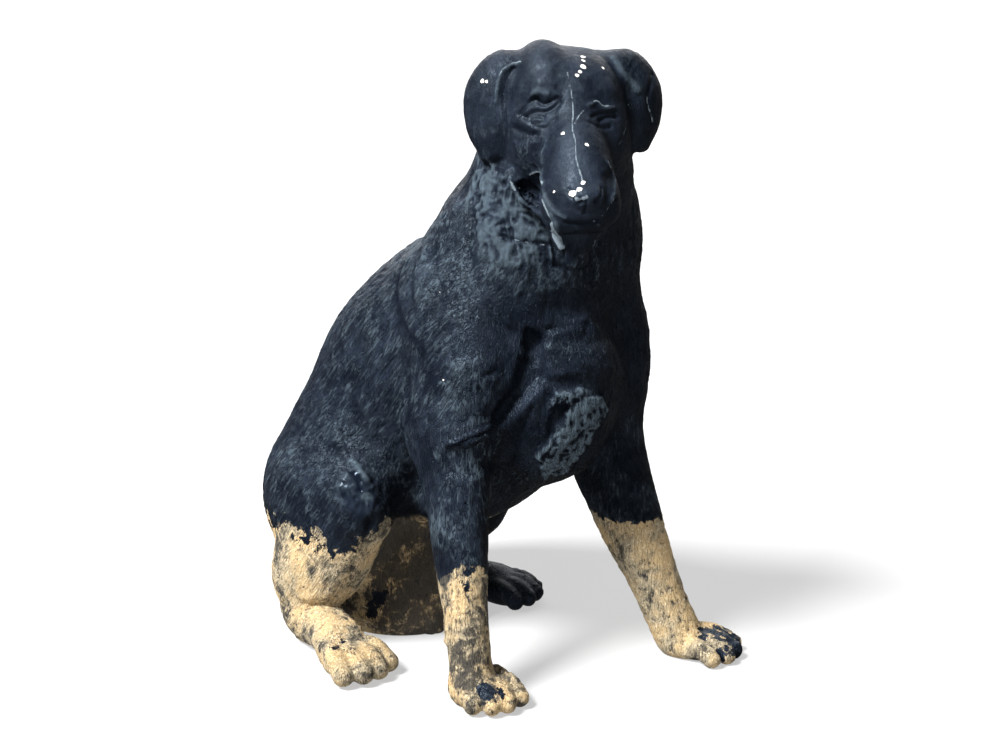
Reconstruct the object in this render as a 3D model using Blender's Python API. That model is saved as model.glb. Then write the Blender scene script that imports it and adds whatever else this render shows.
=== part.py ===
"""A life-size garden dog, sitting up on its haunches with its head turned to its right.

The statue is one solid casting. It faces -Y and stands on +Z up, on four paws and its rump.
Every mass below is a tube carried along a path or an egg, and the casting is their union.
"""

import math

import bmesh
import bpy
from mathutils import Matrix, Vector

STATUE_HEIGHT = 0.73  # metres, from the ground to the top of the skull

# A free form keeps its pose and carving as shares of its height: the tables are in units of it.
UNITS_TALL = 730
UNIT = STATUE_HEIGHT / UNITS_TALL

HEAD_CENTRE = Vector((10, -138, 660))
HEAD_TURN = math.radians(36)  # towards the dog's right
RING_SIDES = 32
RINGS_PER_SPAN = 4
END_ANGLES = (28, 54, 76)  # degrees round a tube's domed end
CASTING_VOXEL = 4  # units: the finest edge that the mould keeps
CASTING_PASSES = 2  # of softening
KEPT_FACES = 0.052  # share of the fine faces that the finished solid keeps
GROUND_DEPTH = 200  # units of the block that cuts the feet flat

PAINT_BLACK = (0.021, 0.026, 0.038, 1.0)
PAINT_ROUGHNESS = 0.42

RIGHT, LEFT = -1, 1  # the dog's own sides, along X
ACROSS = Vector((1, 0, 0))
UP = Vector((0, 0, 1))
FORWARD = Vector((-math.sin(HEAD_TURN), -math.cos(HEAD_TURN), 0))  # of the head
LEFTWARD = Vector((math.cos(HEAD_TURN), -math.sin(HEAD_TURN), 0))  # of the head


def at_head(left, forward, up):
    """A point given from the skull's centre, along the head's own directions."""
    return HEAD_CENTRE + LEFTWARD * left + FORWARD * forward + UP * up


def head_rows(rows):
    """Rows of left, forward, up, half-width and half-depth, as rows of x, y, z and the same."""
    return [(*at_head(*row[:3]), row[3], row[4]) for row in rows]


def tilted(degrees):
    """The head's left, forward and up, with forward dipped by this much."""
    dip = math.radians(degrees)
    forward = FORWARD * math.cos(dip) - UP * math.sin(dip)
    return LEFTWARD, forward, UP * math.cos(dip) + FORWARD * math.sin(dip)


def between(a, b, c, d, t):
    """The smooth curve through four values, at share t from b to c."""
    return 0.5 * (
        2 * b + (c - a) * t + (2 * a - 5 * b + 4 * c - d) * t**2 + (3 * b - a - 3 * c + d) * t**3
    )


def smooth_rows(rows):
    """The stations of a tube with RINGS_PER_SPAN - 1 more between each two."""
    rows = [tuple(map(float, row)) for row in rows]
    first = tuple(2 * a - b for a, b in zip(rows[0], rows[1]))
    last = tuple(2 * a - b for a, b in zip(rows[-1], rows[-2]))
    ends = [first, *rows, last]
    out = []
    for i in range(1, len(ends) - 2):
        for step in range(RINGS_PER_SPAN):
            four = zip(ends[i - 1], ends[i], ends[i + 1], ends[i + 2])
            out.append(tuple(between(*values, step / RINGS_PER_SPAN) for values in four))
    out.append(rows[-1])
    return out


def ring(bm, centre, across, along, half_width, half_depth):
    """The edges of one elliptical section, square to the path."""
    across = (across - along * across.dot(along)).normalized()
    depth = along.cross(across)
    place = Matrix((across * half_width, depth * half_depth, along)).transposed().to_4x4()
    place.translation = centre
    made = bmesh.ops.create_circle(bm, segments=RING_SIDES, radius=1, matrix=place)
    return list({edge for vert in made["verts"] for edge in vert.link_edges})


def tube(bm, rows, fillet, across=ACROSS):
    """A closed tube through rows of x, y, z, half-width and half-depth, fattened by the fillet."""
    rows = smooth_rows(rows)
    centres = [Vector(row[:3]) for row in rows]
    last = len(rows) - 1
    headings = [(centres[min(i + 1, last)] - centres[max(i - 1, 0)]).normalized() for i in range(last + 1)]
    sections = [
        (centre, heading, row[3] + fillet, row[4] + fillet)
        for centre, heading, row in zip(centres, headings, rows)
    ]
    tail_dome = dome(*sections[0], -1)
    tip_dome = dome(*sections[-1], 1)
    sections = tail_dome[::-1] + sections + tip_dome
    rings = [ring(bm, c, Vector(across), h, width, depth) for c, h, width, depth in sections]
    for one, other in zip(rings, rings[1:]):
        bmesh.ops.bridge_loops(bm, edges=one + other)
    for edges in (rings[0], rings[-1]):
        bmesh.ops.edgeloop_fill(bm, edges=edges)


def dome(centre, heading, width, depth, sign):
    """The sections of a tube's rounded end, from the tube outwards."""
    out = []
    for degrees in END_ANGLES:
        angle = math.radians(degrees)
        place = centre + heading * (sign * min(width, depth) * math.sin(angle))
        out.append((place, heading, width * math.cos(angle), depth * math.cos(angle)))
    return out


def egg(bm, centre, radii, fillet, axes=(ACROSS, Vector((0, 1, 0)), UP)):
    """An ellipsoid with its own axes, fattened by the fillet."""
    fat = [Vector(axis) * (radius + fillet) for axis, radius in zip(axes, radii)]
    place = Matrix(fat).transposed().to_4x4()
    place.translation = Vector(centre)
    bmesh.ops.create_icosphere(bm, subdivisions=4, radius=1, matrix=place)


class Clay:
    """The masses of one stage, each fattened by the fillet that the stage then takes back."""

    def __init__(self, fillet):
        self.fillet = fillet
        self.bm = bmesh.new()

    def tube(self, rows, across=ACROSS):
        tube(self.bm, rows, self.fillet, across)

    def egg(self, centre, radii, axes=(ACROSS, Vector((0, 1, 0)), UP)):
        egg(self.bm, centre, radii, self.fillet, axes)


def trunk(clay):
    """Rump, loin, barrel, belly and chest."""
    clay.tube([
        (-12, 168, 75, 108, 82),
        (-10, 162, 125, 130, 100),
        (-6, 142, 190, 137, 115),
        (-1, 114, 258, 138, 126),
        (3, 76, 322, 136, 130),
        (7, 20, 382, 130, 120),
        (12, -42, 432, 118, 104),
        (16, -80, 480, 101, 93),
    ])
    clay.tube([(2, -92, 262, 50, 36), (0, -40, 214, 60, 42), (-4, 20, 184, 70, 48)])
    clay.egg((-18, 118, 58), (98, 104, 130))
    clay.egg((6, -126, 338), (92, 72, 102))


def neck(clay):
    """The neck from the chest to the core of the skull."""
    clay.tube([
        (16, -76, 425, 100, 82),
        (21, -86, 495, 103, 93),
        (26, -101, 560, 95, 94),
        (22, -117, 610, 82, 88),
        (11, -120, 652, 64, 70),
    ])


def nape(clay):
    """The muscle behind and beside the neck."""
    clay.egg((1, -33, 484), (84, 66, 72))
    clay.egg((84, -110, 500), (61, 63, 94))


def shoulders(clay):
    """The shoulder blades and upper arms, the left one a little ahead."""
    for side, ahead, out in ((RIGHT, 15, 8), (LEFT, -12, 16)):
        clay.tube([
            (side * 62 + out, ahead - 45, 470, 38, 53),
            (side * 92 + out, ahead - 85, 410, 46, 63),
            (side * 100 + out - 2, ahead - 95, 345, 46, 62),
            (side * 100 + out - 6, ahead - 75, 285, 42, 54),
        ])


def forelegs(clay):
    """The two forelegs, the left one set forward and outward."""
    clay.tube([
        (-104, -80, 300, 42, 52),
        (-112, -92, 240, 35, 43),
        (-124, -112, 160, 28, 33),
        (-134, -131, 90, 24, 27),
        (-138, -142, 45, 23, 26),
        (-142, -148, 20, 27, 28),
    ])
    clay.tube([
        (101, -107, 300, 49, 60),
        (106, -120, 240, 43, 52),
        (115, -157, 150, 35, 41),
        (125, -187, 85, 28, 32),
        (131, -206, 45, 27, 30),
        (135, -219, 20, 28, 28),
    ])


def hindquarters(clay):
    """Thighs, shanks folded under them and the feet that lie along the ground."""
    clay.tube([
        (-64, 183, 149, 77, 90),
        (-99, 158, 156, 79, 96),
        (-124, 110, 172, 64, 86),
        (-139, 56, 192, 42, 58),
    ], across=(1, 0.3, 0))
    clay.tube([
        (38, 178, 152, 74, 86),
        (72, 150, 160, 72, 92),
        (94, 112, 172, 56, 80),
        (106, 74, 188, 38, 56),
    ], across=(1, -0.3, 0))


def shanks(clay):
    """The lower hind legs, folded against the thighs, and the feet along the ground."""
    clay.tube([
        (-138, 62, 185, 38, 52),
        (-144, 104, 128, 48, 68),
        (-151, 132, 75, 43, 56),
        (-156, 136, 40, 32, 34),
    ])
    clay.tube([(-164, 118, 26, 27, 28), (-172, 75, 30, 27, 26), (-184, 35, 28, 31, 24)])
    clay.tube([
        (106, 82, 180, 34, 50),
        (104, 122, 125, 42, 60),
        (92, 160, 70, 36, 44),
        (84, 168, 36, 28, 28),
    ])
    clay.tube([(78, 150, 24, 25, 24), (86, 100, 24, 25, 22), (95, 62, 24, 28, 21)])


def tail(clay):
    """A plain tail that lies round the left haunch on the ground."""
    clay.tube([
        (-5, 238, 60, 26, 26),
        (22, 262, 30, 22, 22),
        (72, 262, 16, 18, 17),
        (125, 240, 12, 15, 14),
        (165, 205, 9, 11, 11),
    ])


def flanks(clay):
    """The skin that runs from the loin over the tops of the thighs."""
    clay.egg((-83, 120, 226), (68, 84, 82))
    clay.egg((66, 124, 220), (74, 84, 80))


def breast(clay):
    """The loose skin across the breast and the keel below it."""
    clay.tube([
        (-66, -120, 440, 26, 14),
        (-34, -146, 424, 28, 17),
        (6, -158, 414, 28, 18),
        (48, -148, 420, 27, 17),
        (80, -122, 436, 24, 14),
    ], across=UP)
    clay.tube([
        (0, -176, 380, 30, 12),
        (6, -186, 345, 27, 13),
        (10, -180, 300, 23, 14),
        (12, -160, 260, 18, 14),
    ])


def skull(clay):
    """The skull, cheeks, muzzle and lower jaw."""
    clay.egg(at_head(2, -4, 2), (64, 76, 60), tilted(10))
    clay.egg(at_head(-22, 0, 18), (38, 54, 54), tilted(0))
    clay.egg(at_head(0, 22, 5), (54, 37, 47), tilted(20))
    clay.tube(head_rows([
        (0, 20, -8, 36, 44),
        (0, 56, -29, 34, 45),
        (0, 92, -57, 38, 43),
        (0, 120, -82, 37, 35),
    ]), across=LEFTWARD)
    for side in (RIGHT, LEFT):
        clay.egg(at_head(side * 38, 32, -32), (28, 40, 40), tilted(25))
    clay.tube(head_rows([(0, 36, -86, 34, 24), (0, 76, -112, 28, 19), (0, 96, -128, 21, 14)]), across=LEFTWARD)


def face(clay):
    """Brows, upper lips, chin and tongue."""
    clay.egg(at_head(0, 126, -96), (32, 22, 21), tilted(30))
    for side in (RIGHT, LEFT):
        clay.egg(at_head(side * 20, 106, -92), (24, 36, 27), tilted(30))
        clay.egg(at_head(side * 31, 46, 19), (17, 10, 13), tilted(25))
    clay.tube(head_rows([(0, 84, -114, 17, 18), (-1, 98, -134, 15, 14), (-1, 100, -150, 14, 12)]), across=LEFTWARD)


def features(clay):
    """The nose and the half-closed eyes."""
    clay.egg(at_head(0, 149, -77), (20, 14, 13), tilted(30))
    for side in (RIGHT, LEFT):
        clay.egg(at_head(side * 37, 46, -1), (14, 9, 7), tilted(20))


def ears(clay):
    """Thick ears that leave the top of the skull sideways and hang beside the cheeks."""
    for side, drop, out in ((RIGHT, 0, 0), (LEFT, 4, 6)):
        broad = FORWARD * 0.77 - LEFTWARD * (side * 0.64)
        clay.tube(head_rows([
            (side * 44, -10, 48, 26, 12),
            (side * (68 + out), -8, 46, 30, 15),
            (side * (85 + out), -4, 17, 31, 15),
            (side * (85 + out), 0, drop - 20, 29, 14),
            (side * (78 + out), 4, 2 * drop - 48, 21, 11),
        ]), across=broad)


def paw(clay, centre, turn, length, width, height):
    """A paw of four toes, pointing along -Y turned by this much towards the dog's right."""
    ahead = Vector((-math.sin(turn), -math.cos(turn), 0))
    left = Vector((math.cos(turn), -math.sin(turn), 0))
    middle = Vector((*centre, 0))
    clay.egg(middle + UP * height * 0.42, (width * 0.41, length * 0.46, height * 0.5), (left, ahead, UP))
    thick = width * 0.15
    for toe in range(4):
        out = (toe - 1.5) / 1.5
        side = left * (out * width * 0.36)
        reach = length * (0.5 - 0.13 * out**2)
        root = middle + side * 0.7 + ahead * (reach - length * 0.62) + UP * height * 0.78
        tip = middle + side * 1.12 + ahead * (reach - 6) + UP * height * 0.36
        knuckle = (root + tip) / 2 + side * 0.05 + ahead * 5 + UP * height * 0.1
        clay.tube([
            (*root, thick * 0.8, thick * 0.7),
            (*knuckle, thick, thick * 0.95),
            (*tip, thick, thick * 1.05),
        ], across=left)


def paws(clay):
    for centre, degrees, length, width, height in (
        ((-130, -162), 22, 88, 70, 33),
        ((148, -244), -14, 90, 72, 30),
        ((-190, 4), 4, 84, 80, 40),
        ((100, 42), -20, 82, 72, 36),
    ):
        paw(clay, centre, math.radians(degrees), length, width, height)


# Name, fillet (the radius where one mass runs into another), voxel, softening passes and masses.
STAGES = (
    ("flesh", 20, 7, 50, (trunk, neck, nape, shoulders, forelegs, flanks, hindquarters)),
    ("limbs", 12, 4.5, 6, (forelegs, shanks, tail)),
    ("folds", 12, 3.6, 10, (neck, breast, skull)),
    ("trim", 3, 3.6, 1, (face, features, ears, paws)),
)


def new_object(name, bm):
    """The bmesh as an object in the scene, in metres."""
    bmesh.ops.recalc_face_normals(bm, faces=bm.faces)
    mesh = bpy.data.meshes.new(name)
    bm.to_mesh(mesh)
    bm.free()
    mesh.transform(Matrix.Scale(UNIT, 4))
    made = bpy.data.objects.new(name, mesh)
    bpy.context.scene.collection.objects.link(made)
    return made


def paint():
    """Semi-gloss black paint."""
    material = bpy.data.materials.new("black_paint")
    material.use_nodes = True
    shader = material.node_tree.nodes["Principled BSDF"]
    shader.inputs["Base Color"].default_value = PAINT_BLACK
    shader.inputs["Roughness"].default_value = PAINT_ROUGHNESS
    shader.inputs["Metallic"].default_value = 0
    material.diffuse_color = PAINT_BLACK
    return material


def ground_block():
    """A helper: the block below the ground, which cuts the feet flat."""
    bm = bmesh.new()
    span = UNITS_TALL * 2
    place = Matrix.Translation((0, 0, -GROUND_DEPTH / 2)) @ Matrix.Diagonal((span, span, GROUND_DEPTH, 1))
    bmesh.ops.create_cube(bm, size=1, matrix=place)
    block = new_object("ground_block", bm)
    block.display_type = "WIRE"
    block.hide_render = True
    return block


def remesh(obj, voxel):
    union = obj.modifiers.new("union", "REMESH")
    union.mode = "VOXEL"
    union.voxel_size = voxel * UNIT


def soften(obj, passes):
    smooth = obj.modifiers.new("soften", "SMOOTH")
    smooth.factor = 0.5
    smooth.iterations = round(passes)


def settled(name, fillet, voxel, passes, masses):
    """A stage's masses as one mesh: joined while fat, then thinned again, which leaves the fillets."""
    clay = Clay(fillet)
    for mass in masses:
        mass(clay)
    fat = new_object(name, clay.bm)
    remesh(fat, voxel)
    soften(fat, passes)
    thinner = fat.modifiers.new("take_back_the_fillet", "DISPLACE")
    thinner.mid_level = 0
    thinner.strength = -fillet * UNIT
    bpy.context.view_layer.update()
    shown = fat.evaluated_get(bpy.context.evaluated_depsgraph_get())
    mesh = bpy.data.meshes.new_from_object(shown)
    bpy.data.objects.remove(fat)
    return mesh


def casting():
    """All the stages in one mesh, with modifiers that make them one solid with flat feet."""
    bm = bmesh.new()
    for stage in STAGES:
        bm.from_mesh(settled(*stage))
    mesh = bpy.data.meshes.new("dog")
    bm.to_mesh(mesh)
    bm.free()
    dog = bpy.data.objects.new("dog", mesh)
    bpy.context.scene.collection.objects.link(dog)
    remesh(dog, CASTING_VOXEL)
    soften(dog, CASTING_PASSES)
    fewer = dog.modifiers.new("fewer_faces", "DECIMATE")
    fewer.ratio = KEPT_FACES
    flat = dog.modifiers.new("flat_feet", "BOOLEAN")
    flat.operation = "DIFFERENCE"
    flat.solver = "EXACT"
    flat.object = ground_block()
    return dog


def stand_on_origin(dog):
    """Moves the figure so that the origin is under the middle of its box."""
    bpy.context.view_layer.update()
    shown = dog.evaluated_get(bpy.context.evaluated_depsgraph_get())
    corners = [Vector(corner) for corner in shown.bound_box]
    low = [min(corner[i] for corner in corners) for i in range(2)]
    high = [max(corner[i] for corner in corners) for i in range(2)]
    dog.location = (-(low[0] + high[0]) / 2, -(low[1] + high[1]) / 2, 0)


def clear_scene():
    for old in list(bpy.data.objects):
        bpy.data.objects.remove(old, do_unlink=True)


def main():
    clear_scene()
    dog = casting()
    dog.data.materials.append(paint())
    dog.data.shade_smooth()
    stand_on_origin(dog)


main()
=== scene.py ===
"""A dog garden statue: its carved surface, its worn black paint and the studio that shows it.

The form is worked out in millimetres about the statue's own middle, with the dog facing -Y,
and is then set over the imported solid's box. Carving that shows only from the front is placed
by where it falls in the picture, on the nearest surface there.
"""

import math

import bpy
import numpy as np
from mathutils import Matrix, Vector


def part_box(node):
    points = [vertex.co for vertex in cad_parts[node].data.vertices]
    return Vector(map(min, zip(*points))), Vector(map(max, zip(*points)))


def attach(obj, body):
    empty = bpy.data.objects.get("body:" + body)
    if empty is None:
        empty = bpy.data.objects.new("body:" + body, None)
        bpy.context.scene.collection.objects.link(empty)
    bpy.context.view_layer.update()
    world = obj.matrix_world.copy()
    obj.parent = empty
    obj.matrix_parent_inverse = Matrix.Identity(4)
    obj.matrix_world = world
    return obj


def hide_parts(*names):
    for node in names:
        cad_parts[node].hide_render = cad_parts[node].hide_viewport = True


bl_info = {
    "name": "Dog garden statue",
    "version": (1, 0, 0),
    "blender": (4, 5, 0),
    "location": "View3D > Sidebar > Statue",
    "description": "Carves and paints a sitting dog of cast stone, and sets up its studio",
    "category": "Add Mesh",
}

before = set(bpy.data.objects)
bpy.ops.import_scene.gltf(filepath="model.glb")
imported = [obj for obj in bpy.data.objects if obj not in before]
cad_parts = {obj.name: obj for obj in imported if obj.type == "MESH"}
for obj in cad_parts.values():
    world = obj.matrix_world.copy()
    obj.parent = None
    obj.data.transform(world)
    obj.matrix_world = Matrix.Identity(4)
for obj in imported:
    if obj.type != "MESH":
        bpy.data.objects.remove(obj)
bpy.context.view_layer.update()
SOLID_LOW, SOLID_HIGH = (np.array(corner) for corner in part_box("dog"))

PICTURE = (1008, 756)  # pixels
SENSOR = 36.0
MOST_TRIANGLES = 192000
TRIANGLE_LIMIT = 200000
FACE_THINNING = 0.2  # the face is thinned this much as readily as the rest

# The grid's stretches along x, y and z: from, to and apart, in millimetres.
GRID = (
    ((-240, -110, 2.4), (-110, 122, 1.9), (122, 200, 2.4)),
    ((-298, -60, 2), (-60, 296, 2.7)),
    ((-4, 60, 2), (60, 520, 2.6), (520, 738, 1.8)),
)

RIGHT, LEFT = -1, 1
ACROSS = np.array([1.0, 0, 0])
UP = np.array([0, 0, 1.0])
WORLD_AXES = np.eye(3)
HEAD_CENTRE = np.array([10.0, -138, 660])
HEAD_TURN = math.radians(36)
FORWARD = np.array([-math.sin(HEAD_TURN), -math.cos(HEAD_TURN), 0])
LEFTWARD = np.array([math.cos(HEAD_TURN), -math.sin(HEAD_TURN), 0])

# Camera: degrees round and above the statue, millimetres away, and the point it looks at.
CAMERA_ROUND = -44.0
CAMERA_ABOVE = 15.0
CAMERA_AWAY = 2050.0
CAMERA_LENS = 65.0
CAMERA_TARGET = np.array([-62.25, -118.33, 360.0])


def direction(degrees_round, degrees_above):
    """The unit vector towards a point this far round from the front, and this far up."""
    side, rise = math.radians(degrees_round), math.radians(degrees_above)
    return np.array([math.sin(side) * math.cos(rise), -math.cos(side) * math.cos(rise), math.sin(rise)])


def at_head(left, forward, up):
    """A point given from the skull's centre, along the head's own directions."""
    return HEAD_CENTRE + LEFTWARD * left + FORWARD * forward + UP * up


def head_rows(rows):
    """Rows of left, forward, up, half-width and half-depth, as rows of x, y, z and the same."""
    return [(*at_head(*row[:3]), *row[3:]) for row in rows]


def tilted(degrees):
    """The head's left, forward and up, with forward dipped by this much."""
    dip = math.radians(degrees)
    forward = FORWARD * math.cos(dip) - UP * math.sin(dip)
    return LEFTWARD, forward, UP * math.cos(dip) + FORWARD * math.sin(dip)


def smooth_rows(rows, spans=4):
    """Catmull-Rom stations: each span is the cubic through its ends that leans on their neighbours."""
    rows = np.asarray(rows, float)
    if len(rows) < 3:
        return rows
    ends = np.vstack([2 * rows[0] - rows[1], rows, 2 * rows[-1] - rows[-2]])
    a, b, c, d = (ends[i:len(ends) - 3 + i, None] for i in range(4))
    t = np.linspace(0, 1, spans, endpoint=False)[None, :, None]
    cubic = (3 * b - a - 3 * c + d) * t**3
    curve = 0.5 * (2 * b + (c - a) * t + (2 * a - 5 * b + 4 * c - d) * t**2 + cubic)
    return np.vstack([curve.reshape(-1, rows.shape[1]), rows[-1:]])


class Clay:
    """Signed distance to the statue on a grid, finer round the head and the paws.

    Each mass is blended in: where two distances differ by less than the blend, the smaller one
    is lowered by the square of what is left of the blend, over four times the blend.
    """

    FAR = 80.0
    EGG_MARGIN = 6
    TUBE_MARGIN = 8

    def __init__(self):
        self.axes = [np.concatenate([np.arange(*span) for span in axis]).astype(np.float32) for axis in GRID]
        self.distance = np.full([len(axis) for axis in self.axes], self.FAR, np.float32)

    def window(self, low, high, margin):
        """The slices of the grid that hold a box with this margin."""
        out = []
        for axis, near, far in zip(self.axes, low, high):
            start, stop = np.searchsorted(axis, (near - margin, far + margin))
            out.append(slice(int(start), int(stop)))
        return tuple(out)

    def offsets(self, window, centre):
        """The window's places along x, y and z, from a centre."""
        parts = [axis[span] - value for axis, span, value in zip(self.axes, window, centre)]
        return np.meshgrid(*parts, indexing="ij", sparse=True)

    def blend(self, window, mass, width, cut=False):
        """Adds a mass, or takes it away."""
        here = self.distance[window]
        sign = -1 if cut else 1
        overlap = np.maximum(width - np.abs(here - sign * mass), 0) / width
        if cut:
            self.distance[window] = np.maximum(here, -mass) + overlap**2 * width / 4
        else:
            self.distance[window] = np.minimum(here, mass) - overlap**2 * width / 4

    def egg(self, centre, radii, blend, axes=WORLD_AXES, cut=False):
        """An ellipsoid. Its distance is the length from the centre, less that length over the
        scaled length, which is 1 on the skin."""
        window = self.window(centre, centre, max(radii) + blend + self.EGG_MARGIN)
        x, y, z = self.offsets(window, centre)
        scaled = sum(((x * a[0] + y * a[1] + z * a[2]) / r) ** 2 for a, r in zip(axes, radii))
        length = np.sqrt(x * x + y * y + z * z)
        self.blend(window, length * (1 - 1 / (np.sqrt(scaled) + 1e-6)), blend, cut)

    def tube(self, rows, blend, across=ACROSS):
        """A tube of elliptical sections through rows of x, y, z, half-width and half-depth.

        Each stretch between two stations gives the distance of the ellipse there, and the
        nearest stretch holds.
        """
        rows = smooth_rows(rows)
        margin = blend + self.TUBE_MARGIN
        reach = rows[:, 3:].max() + margin
        whole = self.window(rows[:, :3].min(0), rows[:, :3].max(0), reach)
        shape = self.distance[whole].shape
        nearest = np.full(shape, 1e9, np.float32)
        mass = np.full(shape, self.FAR, np.float32)
        across = np.asarray(across, float)
        for start, stop in zip(rows[:-1], rows[1:]):
            heading = stop[:3] - start[:3]
            length = np.linalg.norm(heading)
            heading = heading / length
            wide = across - heading * (across @ heading)
            wide /= np.linalg.norm(wide)
            deep = np.cross(heading, wide)
            low, high = np.minimum(start[:3], stop[:3]), np.maximum(start[:3], stop[:3])
            window = self.window(low, high, max(start[3:].max(), stop[3:].max()) + margin)
            x, y, z = self.offsets(window, start[:3])
            along = x * heading[0] + y * heading[1] + z * heading[2]
            side = x * wide[0] + y * wide[1] + z * wide[2]
            down = x * deep[0] + y * deep[1] + z * deep[2]
            on = np.clip(along, 0, length)
            over = along - on
            share = on / length
            half_width = start[3] + (stop[3] - start[3]) * share
            half_depth = start[4] + (stop[4] - start[4]) * share
            cap = np.minimum(half_width, half_depth)
            scaled = np.sqrt((side / half_width) ** 2 + (down / half_depth) ** 2 + (over / cap) ** 2)
            square = side * side + down * down + over * over
            here = tuple(slice(w.start - v.start, w.stop - v.start) for w, v in zip(window, whole))
            closer = square < nearest[here]
            nearest[here] = np.where(closer, square, nearest[here])
            skin = np.sqrt(square) * (1 - 1 / (scaled + 1e-6))
            mass[here] = np.where(closer, skin, mass[here])
        self.blend(whole, mass, blend)

    def flat_ground(self):
        """Nothing reaches below zero."""
        self.distance = np.maximum(self.distance, -self.axes[2][None, None, :])

    def surface(self):
        """Surface nets: a point in each cell that the skin crosses, at the mean of its crossed
        edges, and a square round each crossed edge."""
        values = self.distance
        inside = values < 0
        corners = [(i, j, k) for i in (0, 1) for j in (0, 1) for k in (0, 1)]
        filled = np.zeros([n - 1 for n in values.shape], np.int8)
        for corner in corners:
            filled += inside[tuple(slice(c, n - 1 + c) for c, n in zip(corner, values.shape))]
        crossed = (filled > 0) & (filled < 8)
        cells = np.argwhere(crossed)
        number = np.full(crossed.shape, -1, np.int32)
        number[crossed] = np.arange(len(cells))
        total = np.zeros((len(cells), 3))
        count = np.zeros(len(cells))
        for axis in range(3):
            one, other = [a for a in range(3) if a != axis]
            for i, j in ((0, 0), (0, 1), (1, 0), (1, 1)):
                near = cells.copy()
                near[:, one] += i
                near[:, other] += j
                far = near.copy()
                far[:, axis] += 1
                start = values[tuple(near.T)]
                stop = values[tuple(far.T)]
                cross = (start < 0) != (stop < 0)
                share = np.where(cross, start / np.where(cross, start - stop, 1), 0)
                point = np.stack([self.axes[k][near[:, k]] for k in range(3)], 1).astype(float)
                span = self.axes[axis][far[:, axis]] - self.axes[axis][near[:, axis]]
                point[:, axis] += share * span
                total += point * cross[:, None]
                count += cross
        squares = []
        for axis in range(3):
            one, other = ((1, 2), (2, 0), (0, 1))[axis]
            first = np.take(inside, range(values.shape[axis] - 1), axis)
            second = np.take(inside, range(1, values.shape[axis]), axis)
            edges = np.argwhere(first != second)
            edges = edges[(edges[:, one] > 0) & (edges[:, other] > 0)]
            square = []
            for i, j in ((-1, -1), (0, -1), (0, 0), (-1, 0)):
                cell = edges.copy()
                cell[:, one] += i
                cell[:, other] += j
                square.append(number[tuple(cell.T)])
            square = np.stack(square, 1)
            outward = first[tuple(edges.T)]
            squares.append(np.where(outward[:, None], square, square[:, ::-1]))
        return total / count[:, None], np.vstack(squares)


def trunk(clay):
    """Rump, loin, barrel, belly and chest."""
    clay.tube([
        (-12, 168, 75, 108, 82),
        (-10, 162, 125, 130, 100),
        (-6, 142, 190, 137, 115),
        (-1, 114, 258, 138, 126),
        (3, 76, 322, 136, 130),
        (7, 20, 382, 130, 120),
        (12, -42, 432, 118, 104),
        (16, -80, 480, 101, 93),
    ], 1)
    clay.tube([
        (4, -112, 264, 54, 36), (2, -80, 240, 58, 38), (0, -40, 212, 62, 42), (-4, 20, 184, 70, 48),
    ], 30)
    clay.egg((-18, 118, 58), (98, 104, 130), 30)
    clay.egg((6, -126, 338), (92, 72, 102), 40)


def neck(clay):
    """The neck from the chest to the core of the skull, with the muscle behind and beside it."""
    clay.tube([
        (16, -76, 425, 98, 80),
        (21, -86, 495, 101, 91),
        (26, -101, 560, 94, 93),
        (22, -117, 610, 82, 87),
        (11, -120, 652, 62, 68),
    ], 36)
    clay.egg((3, -41, 494), (81, 59, 74), 34)
    clay.egg((83, -110, 500), (60, 62, 92), 30)


def shoulders(clay):
    """The shoulder blades and upper arms, the left one a little ahead."""
    for side, ahead, out in ((RIGHT, 15, 8), (LEFT, -12, 16)):
        clay.tube([
            (side * 62 + out, ahead - 45, 470, 38, 53),
            (side * 92 + out, ahead - 85, 410, 46, 63),
            (side * 100 + out - 2, ahead - 95, 345, 46, 62),
            (side * 100 + out - 6, ahead - 75, 285, 42, 54),
        ], 34)


def forelegs(clay):
    """The two forelegs, the left one set forward and outward."""
    clay.tube([
        (-104, -80, 300, 42, 52),
        (-112, -92, 240, 35, 43),
        (-124, -112, 160, 28, 33),
        (-134, -131, 90, 24, 27),
        (-138, -142, 45, 23, 26),
        (-142, -148, 20, 27, 28),
    ], 22)
    clay.tube([
        (101, -107, 300, 49, 60),
        (106, -120, 240, 43, 52),
        (115, -157, 150, 35, 41),
        (125, -187, 85, 28, 32),
        (131, -206, 45, 27, 30),
        (135, -219, 20, 28, 28),
    ], 22)


def hindquarters(clay):
    """Thighs, the lower legs folded against them and the feet along the ground."""
    clay.egg((-86, 122, 226), (70, 86, 80), 40)
    clay.egg((66, 124, 220), (72, 82, 76), 40)
    clay.tube([
        (-64, 183, 149, 77, 90),
        (-99, 158, 156, 79, 96),
        (-124, 110, 172, 64, 86),
        (-139, 56, 192, 42, 58),
    ], 34, across=(1, 0.3, 0))
    clay.tube([
        (38, 178, 152, 74, 86),
        (72, 150, 160, 72, 92),
        (94, 112, 172, 56, 80),
        (106, 74, 188, 38, 56),
    ], 34, across=(1, -0.3, 0))
    clay.tube([
        (-138, 62, 185, 38, 52),
        (-144, 104, 128, 48, 68),
        (-151, 132, 75, 43, 56),
        (-156, 136, 40, 32, 34),
    ], 14)
    clay.tube([(-164, 118, 26, 27, 28), (-172, 75, 30, 27, 26), (-184, 35, 28, 31, 24)], 14)
    clay.tube([
        (106, 82, 180, 34, 50),
        (104, 122, 125, 42, 60),
        (92, 160, 70, 36, 44),
        (84, 168, 36, 28, 28),
    ], 14)
    clay.tube([(78, 150, 24, 25, 24), (86, 100, 24, 25, 22), (95, 62, 24, 28, 21)], 14)


def tail(clay):
    """A plain tail that lies round the left haunch on the ground."""
    clay.tube([
        (-5, 238, 60, 26, 26),
        (22, 262, 30, 22, 22),
        (72, 262, 16, 18, 17),
        (125, 240, 12, 15, 14),
        (165, 205, 9, 11, 11),
    ], 16)


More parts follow.
